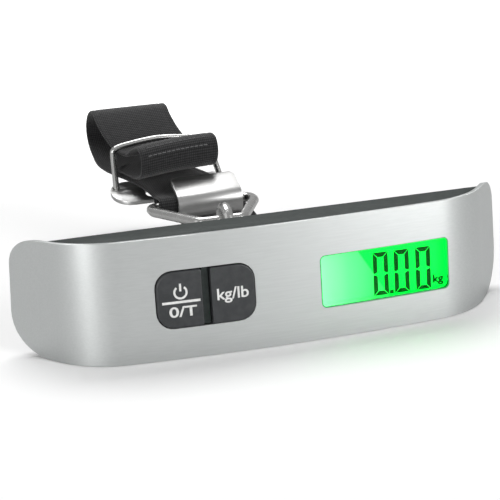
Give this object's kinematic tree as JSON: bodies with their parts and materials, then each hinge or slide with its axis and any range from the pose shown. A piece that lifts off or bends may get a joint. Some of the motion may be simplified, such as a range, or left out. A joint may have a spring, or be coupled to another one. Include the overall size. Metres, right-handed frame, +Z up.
{
  "type": "digital luggage scale",
  "caption": "Hand-held luggage scale: curved silver cover with two keys and a lit display, black housing, and a folded strap on a steel ring.",
  "frame": {"origin": "on the flat lower wall that the body rests on, at the body's middle, 8.5 mm behind the cover's front", "axes": "+X along the handle to the display's side, +Y from the display towards the strap, +Z up"},
  "size_m": [0.1492, 0.1413, 0.0454],
  "materials": {
    "satin_silver": "satin silver lacquer",
    "black_plastic": "fine matte texture",
    "key_rubber": "matte",
    "clear_lens": "clear acrylic",
    "display_glass": "lit green",
    "backlight": "diffusing, lit",
    "white_plastic": "plain",
    "green_board": "solder mask",
    "bright_steel": "bright plated",
    "plain_steel": "zinc plated",
    "aluminium": "milled",
    "gauge_film": "polyimide film",
    "black_webbing": "woven, ribbed",
    "pink_elastomer": "matte",
    "black_epoxy": "moulded"
  },
  "bodies": {
    "housing": {"front_cover": "satin_silver", "rear_housing": "black_plastic", "coin_cell": "bright_steel", "battery_spring": "plain_steel", "battery_contact": "plain_steel", "battery_lead_rim": "black_epoxy", "battery_lead_face": "black_epoxy", "window_lens": "clear_lens", "lcd_glass": "display_glass", "lcd_backlight": "backlight", "lcd_frame": "white_plastic", "elastomer_connector": "pink_elastomer", "power_switch": "plain_steel", "unit_switch": "plain_steel", "button_frame": "black_plastic", "circuit_board": "green_board", "processor_blob": "black_epoxy", "housing_screw_1": "plain_steel", "housing_screw_2": "plain_steel", "housing_screw_3": "plain_steel", "housing_screw_4": "plain_steel", "board_screw_1": "plain_steel", "board_screw_2": "plain_steel", "load_cell": "aluminium", "strain_gauge_1": "gauge_film", "strain_gauge_2": "gauge_film", "strain_gauge_3": "gauge_film", "strain_gauge_4": "gauge_film", "gauge_wires": "pink_elastomer", "load_cell_screw_1": "plain_steel", "load_cell_screw_2": "plain_steel", "eye_bolt": "bright_steel", "eye_nut": "plain_steel"},
    "power_key": {"power_button": "key_rubber", "power_plunger": "white_plastic"},
    "unit_key": {"unit_button": "key_rubber", "unit_plunger": "white_plastic"},
    "door": {"battery_door": "black_plastic"},
    "ring": {"triangle_ring": "bright_steel"},
    "strap": {"strap_webbing": "black_webbing", "hook_plate": "bright_steel"},
    "bail": {"keeper_bail": "bright_steel"}
  },
  "joints": [
    {"name": "power_press", "type": "slide", "parent": "housing", "child": "power_key", "axis": [0, 0.9986, -0.0523], "range_m": [0, 0.0005], "stiffness_N_per_m": 600},
    {"name": "unit_press", "type": "slide", "parent": "housing", "child": "unit_key", "axis": [0, 0.9986, -0.0523], "range_m": [0, 0.0005], "stiffness_N_per_m": 600},
    {"name": "door_hinge", "type": "hinge", "parent": "housing", "child": "door", "pos_m": [-0.05, 0.01586, 0.00433], "axis": [-1, 0, 0], "range_deg": [0, 80]},
    {"name": "ring_swing", "type": "hinge", "parent": "housing", "child": "ring", "pos_m": [-0.0038, 0.0467, 0.0224], "axis": [1, 0, 0], "range_deg": [-60, 60]},
    {"name": "strap_swing", "type": "hinge", "parent": "ring", "child": "strap", "pos_m": [-0.0045, 0.0745, 0.021], "axis": [1, 0, 0], "range_deg": [-45, 60]},
    {"name": "bail_swing", "type": "hinge", "parent": "strap", "child": "bail", "pos_m": [-0.0086, 0.0972, 0.02238], "axis": [1, 0, 0], "range_deg": [-5, 5]}
  ]
}
